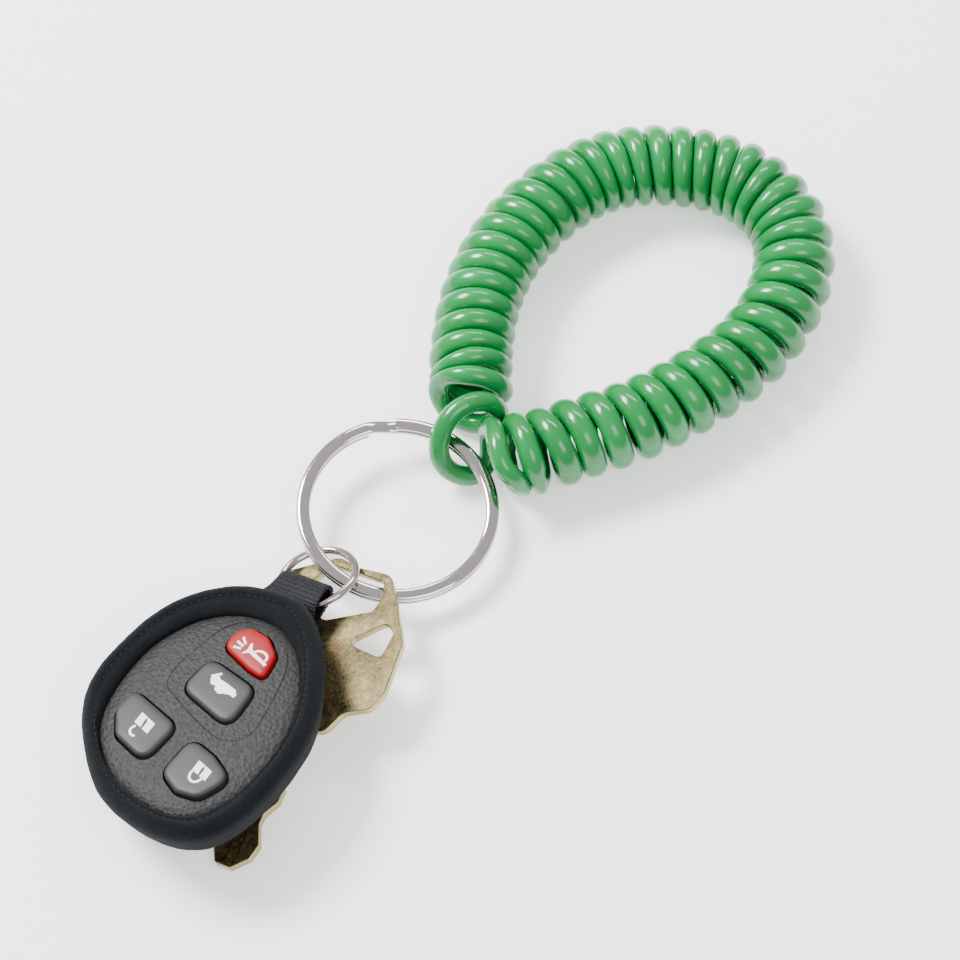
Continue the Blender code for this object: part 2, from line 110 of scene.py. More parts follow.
class Paint:
    """One procedural material around a Principled shader."""

    def __init__(self, name, colour, roughness, metallic=0.0, coat=0.0, specular=0.5):
        self.material = bpy.data.materials.new(name)
        self.material.use_nodes = True
        self.tree = self.material.node_tree
        self.shader = self.tree.nodes["Principled BSDF"]
        self.set("Base Color", (*colour, 1.0))
        self.set("Roughness", roughness)
        self.set("Metallic", metallic)
        self.set("Coat Weight", coat)
        self.set("Specular IOR Level", specular)
        self.material.diffuse_color = (*colour, 1.0)
        self.place = Socket(self, self.node("ShaderNodeTexCoord").outputs["Object"])

    def node(self, kind, **settings):
        made = self.tree.nodes.new(kind)
        for key, value in settings.items():
            setattr(made, key, value)
        return made

    def feed(self, entry, value):
        if isinstance(value, Socket):
            self.tree.links.new(value.output, entry)
        else:
            entry.default_value = value

    def set(self, name, value):
        self.feed(self.shader.inputs[name], value)

    def noise(self, scale, detail=4.0, rough=0.55, stretch=(1, 1, 1)):
        node = self.node("ShaderNodeTexNoise")
        moved = self.node("ShaderNodeMapping")
        self.feed(moved.inputs["Vector"], self.place)
        moved.inputs["Scale"].default_value = stretch
        self.tree.links.new(moved.outputs[0], node.inputs["Vector"])
        node.inputs["Scale"].default_value = scale
        node.inputs["Detail"].default_value = detail
        node.inputs["Roughness"].default_value = rough
        return Socket(self, node.outputs[0])

    def cells(self, scale, smooth=0.4):
        node = self.node("ShaderNodeTexVoronoi", feature="SMOOTH_F1")
        self.feed(node.inputs["Vector"], self.place)
        node.inputs["Scale"].default_value = scale
        node.inputs["Smoothness"].default_value = smooth
        return Socket(self, node.outputs[0])

    def blend(self, share, first, second):
        node = self.node("ShaderNodeMix", data_type="RGBA")
        self.feed(node.inputs[0], share)
        self.feed(node.inputs[6], first if isinstance(first, Socket) else (*first, 1.0))
        self.feed(node.inputs[7], second if isinstance(second, Socket) else (*second, 1.0))
        return Socket(self, node.outputs[2])

    def bump(self, height, distance, strength=1.0):
        node = self.node("ShaderNodeBump")
        node.inputs["Strength"].default_value = strength
        node.inputs["Distance"].default_value = distance
        self.feed(node.inputs["Height"], height)
        self.set("Normal", Socket(self, node.outputs[0]))


def make_materials():
    cord = Paint("glossy_green_cord", (0.0008, 0.2, 0.036), 0.28, coat=0.15)
    cloudy = cord.noise(90.0, 3.0)
    cord.set("Base Color", cord.blend(cloudy.span(0.3, 0.75), (0.0003, 0.165, 0.029), (0.0008, 0.23, 0.046)))
    cord.set("Roughness", cord.noise(400.0).span(0.35, 0.7, 0.16, 0.26))
    chrome = Paint("bright_nickel", (0.56, 0.51, 0.51), 0.1, 1.0)
    chrome.set("Roughness", chrome.noise(900.0, 2.0, stretch=(1, 1, 6)).span(0.3, 0.75, 0.06, 0.17))
    rosy = Paint("warm_nickel", (0.5, 0.43, 0.43), 0.12, 1.0)
    rosy.set("Roughness", rosy.noise(900.0, 2.0).span(0.3, 0.75, 0.08, 0.2))
    brass = Paint("worn_key_brass", (0.2, 0.17, 0.075), 0.5, 0.75)
    patches = brass.noise(700.0, 6.0, 0.75)
    grit = brass.noise(1500.0, 4.0, 0.7)
    mottle = (patches * 0.6 + grit * 0.55).span(0.42, 0.74)
    tint = brass.blend(mottle, (0.02, 0.016, 0.006), (0.18, 0.145, 0.06))
    rusty = brass.noise(260.0, 3.0).span(0.56, 0.68)
    brass.set("Base Color", brass.blend(rusty * 0.6, tint, (0.15, 0.075, 0.025)))
    brass.set("Roughness", grit.span(0.35, 0.7, 0.32, 0.6))
    brass.bump(grit, 0.00012, 0.7)
    rim = Paint("rubbed_key_edge", (0.4, 0.34, 0.16), 0.3, 1.0)
    rim.set("Roughness", rim.noise(900.0).span(0.3, 0.7, 0.18, 0.42))
    felt = Paint("navy_felt_pile", (0.006, 0.013, 0.02), 0.95, specular=0.2)
    pile = felt.noise(2600.0, 5.0, 0.75)
    drift = felt.noise(160.0, 3.0)
    nap = (pile * 0.75 + drift * 0.35).span(0.42, 0.78)
    felt.set("Base Color", felt.blend(nap, (0.0006, 0.0012, 0.002), (0.0035, 0.0075, 0.0105)))
    felt.shader.inputs["Sheen Weight"].default_value = 0.02
    felt.bump(pile, 0.00025, 0.9)
    web = Paint("black_ribbed_webbing", (0.01, 0.012, 0.017), 0.6, specular=0.2)
    yarn = web.noise(1600.0).span(0.35, 0.7)
    web.set("Base Color", web.blend(yarn, (0.0015, 0.002, 0.003), (0.008, 0.009, 0.012)))
    case = Paint("grained_case", (0.05, 0.05, 0.052), 0.55, specular=0.28)
    grain = case.cells(1500.0)
    fine = case.noise(2600.0, 4.0, 0.7)
    leather = (grain * 0.5 + fine * 0.6).span(0.3, 0.75)
    case.set("Base Color", case.blend(leather, (0.0045, 0.0045, 0.005), (0.019, 0.0188, 0.0186)))
    case.set("Roughness", fine.span(0.3, 0.7, 0.45, 0.65))
    case.bump(grain + fine * 0.6, 0.00016, 0.8)
    grey = Paint("satin_grey_button", (0.03, 0.0305, 0.0335), 0.45, specular=0.25)
    grey.bump(grey.noise(2200.0), 0.00002, 0.3)
    red = Paint("satin_red_button", (0.27, 0.004, 0.007), 0.42, specular=0.2)
    red.bump(red.noise(2200.0), 0.00002, 0.3)
    white = Paint("printed_white", (0.86, 0.86, 0.86), 0.5)
    rubber = Paint("keypad_silicone", (0.012, 0.012, 0.014), 0.8)
    rubber.set("Roughness", rubber.noise(500.0).span(0.3, 0.7, 0.7, 0.9))
    board = Paint("solder_mask_green", (0.015, 0.14, 0.05), 0.4)
    traces = board.noise(300.0, 2.0).span(0.5, 0.56)
    board.set("Base Color", board.blend(traces, (0.012, 0.11, 0.04), (0.03, 0.2, 0.08)))
    steel = Paint("cell_can_steel", (0.6, 0.6, 0.62), 0.28, 1.0)
    steel.set("Roughness", steel.noise(700.0, 3.0, stretch=(1, 12, 1)).span(0.3, 0.7, 0.2, 0.4))
    floor = Paint("pale_tabletop", (0.95, 0.95, 0.95), 0.7, specular=0.1)
    floor.set("Emission Color", (1.0, 1.0, 1.0, 1.0))
    floor.set("Emission Strength", FLOOR_GLOW)
    floor.set("Roughness", floor.noise(30.0).span(0.3, 0.7, 0.65, 0.75))
    return {name: value.material for name, value in locals().items() if isinstance(value, Paint)}


LOOKS = make_materials()


# ---- mesh helpers -----------------------------------------------------------------
def linked(name, mesh, look):
    thing = bpy.data.objects.new(name, mesh)
    bpy.context.scene.collection.objects.link(thing)
    if not mesh.materials:
        mesh.materials.append(LOOKS[look])
    return thing


def loft(name, rings, cyclic=False, sharp=50):
    """A closed mesh through rings of points, each ring as long as the first."""
    bm = bmesh.new()
    rows = [[bm.verts.new(point) for point in ring] for ring in rings]
    count = len(rows[0])
    for index in range(len(rows) if cyclic else len(rows) - 1):
        low, high = rows[index], rows[(index + 1) % len(rows)]
        for side in range(count):
            after = (side + 1) % count
            bm.faces.new((low[side], low[after], high[after], high[side]))
    if not cyclic:
        bm.faces.new(reversed(rows[0]))
        bm.faces.new(rows[-1])
    bmesh.ops.recalc_face_normals(bm, faces=bm.faces)
    return finished(name, bm, sharp)


def finished(name, bm, sharp=50):
    mesh = bpy.data.meshes.new(name)
    bm.to_mesh(mesh)
    bm.free()
    mesh.shade_smooth()
    mesh.set_sharp_from_angle(angle=math.radians(sharp))
    return mesh


def smooth_loop(points, steps):
    """Points on a closed Catmull-Rom curve through the given ones."""
    made = []
    count = len(points)
    for index in range(count):
        p0, p1, p2, p3 = (Vector(points[(index + k) % count]) for k in (-1, 0, 1, 2))
        for step in range(steps):
            t = step / steps
            made.append(
                0.5 * (2 * p1 + (p2 - p0) * t + (2 * p0 - 5 * p1 + 4 * p2 - p3) * t * t
                       + (3 * p1 - p0 - 3 * p2 + p3) * t * t * t)
            )
    return made


def rounded(corners, radius, steps=6):
    """A closed outline with each corner of a polygon rounded."""
    made = []
    count = len(corners)
    for index in range(count):
        before, corner, after = (Vector(corners[(index + k) % count]) for k in (-1, 0, 1))
        back = (before - corner).normalized()
        ahead = (after - corner).normalized()
        half = back.angle(ahead) / 2
        reach = min(radius / math.tan(half), 0.48 * min((before - corner).length, (after - corner).length))
        start = corner + back * reach
        end = corner + ahead * reach
        for step in range(steps + 1):
            t = step / steps
            made.append(start.lerp(corner, t).lerp(corner.lerp(end, t), t))
    return made


def inset(outline, distance):
    """The outline moved inwards by a distance, outwards where it is negative."""
    count = len(outline)
    area = sum(outline[i].x * outline[(i + 1) % count].y - outline[(i + 1) % count].x * outline[i].y
               for i in range(count))
    turn = 1 if area > 0 else -1
    made = []
    for index in range(count):
        along = (outline[(index + 1) % count] - outline[index - 1]).normalized()
        made.append(outline[index] + Vector((-along.y, along.x)) * turn * distance)
    return made


def stack(name, frame_matrix, outline, profile, cyclic=False, sharp=50):
    """A body whose sections are the outline, inset and raised by each (inset, height)."""
    rings = []
    for distance, height in profile:
        rings.append([frame_matrix @ (Vector((p.x, p.y, height)) * MM) for p in inset(outline, distance)])
    return loft(name, rings, cyclic, sharp)


def put(name, mesh, look, body, *nodes, slot=None):
    piece = linked(name, mesh, look)
    if body:
        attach(piece, body)
    if nodes:
        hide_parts(*nodes)
    return piece


def apply_boolean(thing, cutter):
    change = thing.modifiers.new("cut", "BOOLEAN")
    change.operation = "DIFFERENCE"
    change.solver = "EXACT"
    change.object = cutter
    bpy.context.view_layer.update()
    made = bpy.data.meshes.new_from_object(thing.evaluated_get(bpy.context.evaluated_depsgraph_get()))
    thing.modifiers.remove(change)
    thing.data = made
    bpy.data.objects.remove(cutter)
    made.shade_smooth()
    made.set_sharp_from_angle(angle=math.radians(40))


# ---- coiled loop ------------------------------------------------------------------
CORD_D = 3.6
COIL_OUTER_D = 14.9
HOOK_TURNS = 1
SEGMENTS = 10
SEGMENT_TURNS = 4
HOOK_LEAN = 10.6
HOOK_REACH = 5.5
CORD_STEPS = 30
CORD_SIDES = 16
CORD_GAP = 0.06
HEADING_SPAN = 0.22  # turns
FULL_FROM = 1.5  # turns from the hook turn, where the cord is still round
FULL_SPAN = 1.0
END_GAP = 0.0015  # turns left between the two pieces that no body joins
CORD_FULLEST = 4.5  # soft cord spreads sideways between its neighbours
BLEND_MARGIN = 2.0
LOOP = [
    (-1.0, 0.7, 0.0),
    (-1.6, 2.6, 0.25),
    (-2.4, 6.5, 0.5),
    (-2.4, 10.0, 0.8),
    (-1.7, 13.3, 1.5),
    (-1.6, 20.6, 3.4),
    (1.1, 36.0, 7.1),
    (7.4, 48.0, 10.4),
    (16.4, 57.0, 13.2),
    (26.8, 61.6, 16.1),
    (38.3, 61.5, 18.9),
    (49.5, 57.0, 22.0),
    (56.0, 47.3, 24.8),
    (55.0, 34.5, 27.6),
    (48.7, 23.4, 30.0),
    (39.0, 14.8, 32.5),
    (28.0, 8.2, 35.1),
    (15.5, 3.5, 37.8),
    (9.6, 1.3, 39.1),
    (5.2, 0.4, 40.0),
    (2.6, -0.5, 40.55),
    (0.1, 0.3, 40.72),
]


class LoopLine:
    """The middle line of the loop as a smooth closed curve over the number of turns."""

    def __init__(self):
        self.wanted = HOOK_TURNS + SEGMENTS * SEGMENT_TURNS
        self.radius = (COIL_OUTER_D - CORD_D) / 2
        self.axis_z = COIL_OUTER_D / 2

    def knot(self, index):
        laps, row = divmod(index, len(LOOP))
        x, y, turn = LOOP[row]
        return Vector((x, y)), turn + laps * self.wanted

    def slope(self, index):
        (p0, t0), (p1, t1), (p2, t2) = (self.knot(index + k) for k in (-1, 0, 1))
        before, after = t1 - t0, t2 - t1
        return ((p2 - p1) / after * before + (p1 - p0) / before * after) / (before + after)

    def at(self, turn):
        """Middle point of the loop at that turn."""
        turn %= self.wanted
        index = max(k for k, row in enumerate(LOOP) if row[2] <= turn)
        (p0, t0), (p1, t1) = self.knot(index), self.knot(index + 1)
        span = t1 - t0
        m0, m1 = self.slope(index) * span, self.slope(index + 1) * span
        t = (turn - t0) / span
        point = (p0 * (2 * t**3 - 3 * t**2 + 1) + m0 * (t**3 - 2 * t**2 + t)
                 + p1 * (3 * t**2 - 2 * t**3) + m1 * (t**3 - t**2))
        return point

    def heading(self, turn):
        """Direction of the loop, taken over most of a turn so that no turn swings out."""
        return (self.at(turn + HEADING_SPAN) - self.at(turn - HEADING_SPAN)).normalized()

    def past_hook(self, turn):
        """Turns between here and the middle of the hook turn, along either way round."""
        return abs((turn + self.wanted / 2) % self.wanted - self.wanted / 2 - HOOK_TURNS / 2)

    def cord(self, turn):
        """A point in the middle of the cord; whole turns lie underneath the loop."""
        point, heading = self.at(turn), self.heading(turn)
        outward = Vector((-heading.y, heading.x))
        angle = 2 * math.pi * turn - math.pi / 2
        nearest = self.past_hook(turn)
        lean = math.radians(HOOK_LEAN) * math.exp(-(nearest * 5.0 / HOOK_REACH) ** 2 * 2)
        side = self.radius * math.cos(angle)
        rise = self.radius * math.sin(angle)
        flat = point + outward * side + heading * (rise * math.sin(lean))
        return Vector((flat.x, flat.y, self.axis_z + rise * math.cos(lean)))

    def spacing(self, turn):
        here = self.cord(turn)
        return min((self.cord(turn + 1) - here).length, (self.cord(turn - 1) - here).length)


def cord_mesh(line, name, first, last):
    stations = round((last - first) * CORD_STEPS)
    rings = []
    for station in range(stations + 1):
        turn = first + (last - first) * station / stations
        here = line.cord(turn)
        along = (line.cord(turn + 0.01) - line.cord(turn - 0.01)).normalized()
        across = (line.at(turn + 0.5) - line.at(turn - 0.5)).to_3d()
        across = (across - along * across.dot(along)).normalized()
        outward = along.cross(across)
        room = min(1.0, max(0.0, (line.past_hook(turn) - FULL_FROM) / FULL_SPAN))
        width = min(CORD_D + (CORD_FULLEST - CORD_D) * room, line.spacing(turn) - CORD_GAP)
        ring = []
        for side in range(CORD_SIDES):
            angle = 2 * math.pi * side / CORD_SIDES
            point = here + outward * (math.cos(angle) * CORD_D / 2) + across * (math.sin(angle) * width / 2)
            ring.append(world(*point))
        rings.append(ring)
    return loft(name, rings, sharp=70)


def body_name(index):
    return "coil_end" if index % (SEGMENTS + 1) == 0 else f"coil_{index % (SEGMENTS + 1):02d}"


def middle_turn(index):
    """The turn in the middle of a rigid length; index 0 is the hook turn."""
    if index == 0:
        return HOOK_TURNS / 2
    return HOOK_TURNS + (index - 0.5) * SEGMENT_TURNS


def build_loop():
    line = LoopLine()
    total = SEGMENTS + 1
    for index in range(total):
        first = middle_turn(index)
        last = middle_turn((index + 1) % total) + (line.wanted if index == SEGMENTS else 0)
        if index == SEGMENTS // 2:
            last -= END_GAP
        name = f"coiled_cord_{index + 1:02d}"
        piece = linked(name, cord_mesh(line, name, first, last), "cord")
        node = "coil_hook_turn" if index == 0 else f"coil_turns_{index:02d}"
        if index == SEGMENTS // 2:
            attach(piece, body_name(index))
        else:
            start = line.at(first).to_3d()
            end = line.at(last).to_3d()
            way = (end - start).normalized() * BLEND_MARGIN
            world(*(start + way))
            world(*(end - way))
            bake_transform(piece)
        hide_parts(node)


# ---- rings ------------------------------------------------------------------------
RING_OUTER_D = 35.0
RING_WIRE_W = 2.3
RING_WIRE_H = 1.15
RING_LAYER_GAP = 0.1
RING_CROSSOVER_HEADING = 92.0
RING_CROSSOVER_SPAN = 18.0
RING_FALL_HEADING = -55.0
RING_SLOPE = 4.4
RING_CENTRE = (-14.2, -9.4, 5.85)
JUMP_OUTER_D = 14.8
JUMP_WIRE_D = 1.4
JUMP_CENTRE = (-27.7, -22.7, 6.15)
JUMP_SLOPE_X = 0.26
JUMP_SLOPE_Y = -0.35
JUMP_SPLIT_HEADING = 52.0
JUMP_SPLIT = 3.0


def ring_frame():
    turn = Matrix.Rotation(math.radians(RING_FALL_HEADING), 4, "Z")
    tip = Matrix.Rotation(math.radians(RING_SLOPE), 4, "Y")
    return Matrix.Translation(world(*RING_CENTRE)) @ turn @ tip


def build_split_ring():
    matrix = ring_frame()
    radius = (RING_OUTER_D - RING_WIRE_W) / 2
    step = (RING_WIRE_H + RING_LAYER_GAP) / 2
    start = RING_CROSSOVER_HEADING - RING_FALL_HEADING + RING_CROSSOVER_SPAN
    sweep = 2 * (360 - RING_CROSSOVER_SPAN) + RING_CROSSOVER_SPAN
    first_layer = 360 - RING_CROSSOVER_SPAN
    half_w, half_h = RING_WIRE_W / 2, RING_WIRE_H / 2
    section = []
    for side in range(20):
        angle = 2 * math.pi * (side + 0.5) / 20
        u, w = math.cos(angle), math.sin(angle)
        section.append((math.copysign(abs(u) ** 0.8, u) * half_w, math.copysign(abs(w) ** 0.8, w) * half_h))
    rings = []
    stations = 420
    for station in range(stations + 1):
        angle = sweep * station / stations
        rise = min(1.0, max(0.0, (angle - first_layer) / RING_CROSSOVER_SPAN))
        height = step * (2 * rise * rise * (3 - 2 * rise) - 1)
        heading = math.radians(start + angle)
        out = Vector((math.cos(heading), math.sin(heading), 0))
        rings.append([matrix @ ((out * (radius + u) + Vector((0, 0, height + w))) * MM) for u, w in section])
    put("wound_split_ring", loft("wound_split_ring", rings, sharp=60), "chrome", "split_ring", "split_ring",
        slot="ring_steel")


def build_jump_ring():
    radius = (JUMP_OUTER_D - JUMP_WIRE_D) / 2
    normal = Vector((-JUMP_SLOPE_X, -JUMP_SLOPE_Y, 1)).normalized()
    tilt = Vector((0, 0, 1)).rotation_difference(normal).to_matrix().to_4x4()
    matrix = Matrix.Translation(world(*JUMP_CENTRE)) @ tilt
    rings = []
    stations = 140
    sides = 18
    for station in range(stations + 1):
        heading = math.radians(JUMP_SPLIT_HEADING + JUMP_SPLIT / 2 + (360 - JUMP_SPLIT) * station / stations)
        out = Vector((math.cos(heading), math.sin(heading), 0))
        ring = []
        for side in range(sides):
            angle = 2 * math.pi * side / sides
            offset = out * (radius + math.cos(angle) * JUMP_WIRE_D / 2)
            ring.append(matrix @ ((offset + Vector((0, 0, math.sin(angle) * JUMP_WIRE_D / 2))) * MM))
        rings.append(ring)
    put("butted_jump_ring", loft("butted_jump_ring", rings, sharp=60), "rosy", "jump_ring", "jump_ring",
        slot="jump_steel")


# ---- key --------------------------------------------------------------------------
KEY_THICK = 1.4
KEY_TIP = (-41.3, -74.9)
KEY_HEADING = 68.6
KEY_ROLL = 19.0
KEY_PITCH = 3.2
KEY_TIP_Z = 1.45
BLADE_W = 8.4
BLADE_LENGTH = 29.6
BOW_LENGTH = 28.9
BOW_W = 29.0
BOW_BAR = 2.4
KEY_BEVEL = 0.22
RIM_NORMAL = 0.96  # faces steeper than this are the rubbed edge


def key_frame():
    turn = Matrix.Rotation(math.radians(KEY_HEADING - 90), 4, "Z")
    pitch = Matrix.Rotation(math.radians(KEY_PITCH), 4, "X")
    roll = Matrix.Rotation(math.radians(-KEY_ROLL), 4, "Y")
    return Matrix.Translation(world(*KEY_TIP, KEY_TIP_Z)) @ turn @ pitch @ roll


def key_outlines():
    """Outer edge of the key, then its ring hole and its eye."""
    half = BLADE_W / 2
    low, wide, tall = BLADE_LENGTH, BOW_W / 2, BLADE_LENGTH + BOW_LENGTH
    blade = [(-half, low - 2.0), (-half, 3.8), (-2.4, 0.4), (0.8, 0.0), (half - 0.6, 2.4),
             (half, 5.0), (half - 1.6, 8.6), (half - 1.6, 10.4), (half, 13.0), (half, 15.6),
             (half - 1.9, 18.0), (half - 1.9, 19.6), (half - 0.4, 21.6), (half - 1.2, 23.4),
             (half, 25.2), (half, low - 3.0)]
    head = [(half + 2.4, low - 3.0), (half + 4.6, low + 1.6), (wide - 1.2, low + 3.2), (wide, low + 6.8),
            (wide - 0.6, low + 16.2), (wide - 4.9, low + 23.4), (6.4, tall - 0.6), (-0.6, tall - 0.3),
            (-4.4, tall + 1.0), (-wide + 0.2, tall - 4.0),
            (1.2 - wide, low + 14.0), (3.4 - wide, low + 5.6), (-half - 4.4, low + 1.4),
            (-half - 2.2, low - 1.0)]
    bar = tall - BOW_BAR
    hole = [(-8.8, bar - 7.4), (-7.4, bar - 1.6), (-4.8, bar + 1.6), (5.7, bar + 0.3), (6.4, bar - 3.4),
            (5.8, bar - 5.6), (-2.0, bar - 8.8)]
    eye = [(3.6, bar - 12.2), (9.4, bar - 7.2), (11.4, bar - 8.8), (11.0, bar - 13.8)]
    return [rounded(blade, 0.8, 3) + rounded(head, 2.6, 8), rounded(hole, 0.9, 6), rounded(eye, 1.1, 6)]


def plate(name, outlines, thick, bevel):
    """A flat plate with holes and rounded edges, its underside at zero height."""
    curve = bpy.data.curves.new(name, "CURVE")
    curve.dimensions = "2D"
    curve.fill_mode = "BOTH"
    curve.extrude = (thick / 2 - bevel) * MM
    curve.bevel_depth = bevel * MM
    curve.bevel_resolution = 2
    curve.offset = -bevel * MM
    for outline in outlines:
        spline = curve.splines.new("POLY")
        spline.points.add(len(outline) - 1)
        for point, spot in zip(spline.points, outline):
            point.co = (spot.x * MM, spot.y * MM, 0, 1)
        spline.use_cyclic_u = True
    thing = bpy.data.objects.new(name, curve)
    bpy.context.scene.collection.objects.link(thing)
    bpy.context.view_layer.update()
    mesh = bpy.data.meshes.new_from_object(thing.evaluated_get(bpy.context.evaluated_depsgraph_get()))
    bpy.data.objects.remove(thing)
    mesh.transform(Matrix.Translation((0, 0, thick / 2 * MM)))
    bm = bmesh.new()
    bm.from_mesh(mesh)
    bmesh.ops.remove_doubles(bm, verts=bm.verts, dist=0.00001)
    bmesh.ops.recalc_face_normals(bm, faces=bm.faces)
    bm.to_mesh(mesh)
    bm.free()
    return mesh


def build_key():
    matrix = key_frame()
    mesh = plate("cut_key", key_outlines(), KEY_THICK, KEY_BEVEL)
    mesh.materials.clear()
    mesh.materials.append(LOOKS["brass"])
    mesh.materials.append(LOOKS["rim"])
    key = linked("cut_key", mesh, "brass")
    for x, width, length in ((-1.5, 0.9, BLADE_LENGTH - 2.0), (0.7, 0.45, BLADE_LENGTH - 6.0)):
        corners = [(x - width, 0.8), (x + width, 0.8), (x + width, length), (x - width, length)]
        groove = rounded(corners, 0.4, 3)
        rings = [[Vector((p.x, p.y, h)) * MM for p in groove] for h in (KEY_THICK - 0.4, KEY_THICK + 1.0)]
        apply_boolean(key, linked("groove_cutter", loft("groove_cutter", rings), "brass"))
    mesh = key.data
    for polygon in mesh.polygons:
        if abs(polygon.normal.z) < RIM_NORMAL:
            polygon.material_index = 1
    mesh.transform(matrix)
    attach(key, "key")
    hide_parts("key")


# ---- remote in its sleeve -----------------------------------------------------------
REMOTE_ORIGIN = (-45.9, -50.3, 3.2)
REMOTE_HEADING = 56.0
REMOTE_ROLL = 11.5
SLEEVE_TOP = 10.3
SLEEVE_BOTTOM_INSET = 3.0
FELT = 1.6
CASE_SPLIT = 5.2
FACE_EDGE = 8.7
FACE_CROWN = 9.6
CASE_WALL = 1.2
CASE_LIP = 0.3
BUTTON_TRAVEL = 0.6
BUTTON_GAP = 0.35
BUTTON_PROUD = 0.9
BUTTON_SOFT_CORNER = 2.6
BUTTON_EDGE = [(0.0, 0.85), (0.04, 0.55), (0.18, 0.3), (0.42, 0.13), (0.7, 0.07)]  # inset, drop
SLEEVE_OUTLINE = [
    (2.0, 25.2), (-8.2, 22.2), (-15.6, 14.4), (-18.5, 4.5), (-18.4, -5.4),
    (-13.4, -13.8), (-3.4, -21.7), (8.0, -23.3), (16.4, -20.4), (20.6, -13.0),
    (21.8, -3.0), (20.4, 7.0), (15.2, 16.4), (8.6, 23.0),
]
WINDOW_OUTLINE = [
    (2.0, 19.2), (-5.2, 17.2), (-10.4, 12.2), (-13.6, 4.5), (-13.6, -5.0),
    (-10.8, -12.5), (-4.2, -17.6), (3.8, -19.6), (11.2, -18.9), (16.2, -14.0),
    (18.5, -6.0), (17.9, 3.0), (14.4, 11.4), (8.6, 17.2),
]
BUTTON_OUTLINES = {
    "panic": [(-1.6, 10.9), (-1.4, 14.4), (0.6, 16.2), (4.4, 16.0), (7.7, 13.6), (8.5, 8.8), (5.2, 9.1)],
    "trunk": [(-2.9, 0.8), (-2.1, 8.1), (8.6, 6.7), (9.0, -1.7)],
    "unlock": [(-9.8, -3.1), (-10.3, -7.8), (-7.2, -11.9), (0.3, -13.7), (1.3, -5.4)],
    "lock": [(4.6, -6.0), (4.1, -13.9), (8.6, -15.7), (12.6, -14.9), (15.4, -9.3), (10.2, -7.0)],
}
STRAP_W = 11.4
STRAP_THICK = 0.9
STRAP_TAPER = 0.9
STRAP_FOLD_V = 31.8
STRAP_ROOT_V = 24.6
STRAP_MID_U = 0.1
STRAP_MID_W = 3.7
STRAP_FOLD_W = 2.8
STRAP_TWIST = 11.0


def remote_frame():
    turn = Matrix.Rotation(math.radians(REMOTE_HEADING - 90), 4, "Z")
    roll = Matrix.Rotation(math.radians(-REMOTE_ROLL), 4, "Y")
    return Matrix.Translation(world(*REMOTE_ORIGIN)) @ turn @ roll


REMOTE = remote_frame()


def build_sleeve():
    outline = smooth_loop(SLEEVE_OUTLINE, 12)
    window = smooth_loop(WINDOW_OUTLINE, 12)
    low, top = SLEEVE_BOTTOM_INSET, SLEEVE_TOP
    wall = [(low + 1.2, 1.6), (low + 0.2, 1.2), (low - 1.0, 2.0), (low - 2.1, 3.6), (0.5, 5.6), (0.08, 7.0),
            (0.0, 7.9), (0.1, 8.7), (0.45, 9.4), (0.95, 9.95), (1.6, 10.28), (2.2, 10.25), (2.55, 9.95)]
    rings = []
    for distance, height in wall:
        rings.append([(p, height) for p in inset(outline, distance)])
    seam = inset(outline, 2.7)
    rings.append([(p, 9.85) for p in seam])
    for share, height in ((0.3, 10.05), (0.6, 9.85), (0.85, 9.45), (1.0, 9.05)):
        rings.append([(a.lerp(b, share), height) for a, b in zip(seam, window)])
    rings.append([(p, 8.5) for p in inset(window, 0.05)])
    rings.append([(p, 8.55) for p in inset(outline, 2.6)])
    rings.append([(p, 5.0) for p in inset(outline, 2.3)])
    made = []
    for row in rings:
        ring = []
        for p, height in row:
            wobble = noise.noise(Vector((p.x * 0.45, p.y * 0.45, height * 0.5))) * 0.07
            fuzz = noise.noise(Vector((p.x * 2.7, p.y * 2.7, height * 2.3))) * 0.035
            way = Vector((p.x, p.y)).normalized() * (wobble + fuzz - 0.05)
            ring.append(REMOTE @ (Vector((p.x + way.x, p.y + way.y, height + (fuzz - 0.03))) * MM))
        made.append(ring)
    piece = put("felt_sleeve_roll", loft("felt_sleeve_roll", made, cyclic=True, sharp=80), "felt", "remote",
                "sleeve_binding", "sleeve_front", slot="navy_felt")
    stitch_line(inset(outline, 2.62), 9.9)


def cell_grid(name, rows, look):
    """A grid whose faces carry the direction that something laid on them runs in."""
    bm = bmesh.new()
    made = [[bm.verts.new(point) for point in row] for row in rows]
    for low, high in zip(made, made[1:]):
        for a, b, c, d in zip(low, low[1:], high[1:], high):
            bm.faces.new((a, b, c, d))
    mesh = bpy.data.meshes.new(name)
    bm.to_mesh(mesh)
    bm.free()
    along = mesh.attributes.new("along", "FLOAT_VECTOR", "FACE")
    for polygon in mesh.polygons:
        a, b, c, d = (mesh.vertices[v].co for v in polygon.vertices)
        along.data[polygon.index].vector = ((b - a) + (c - d)).normalized()
    return linked(name, mesh, look)


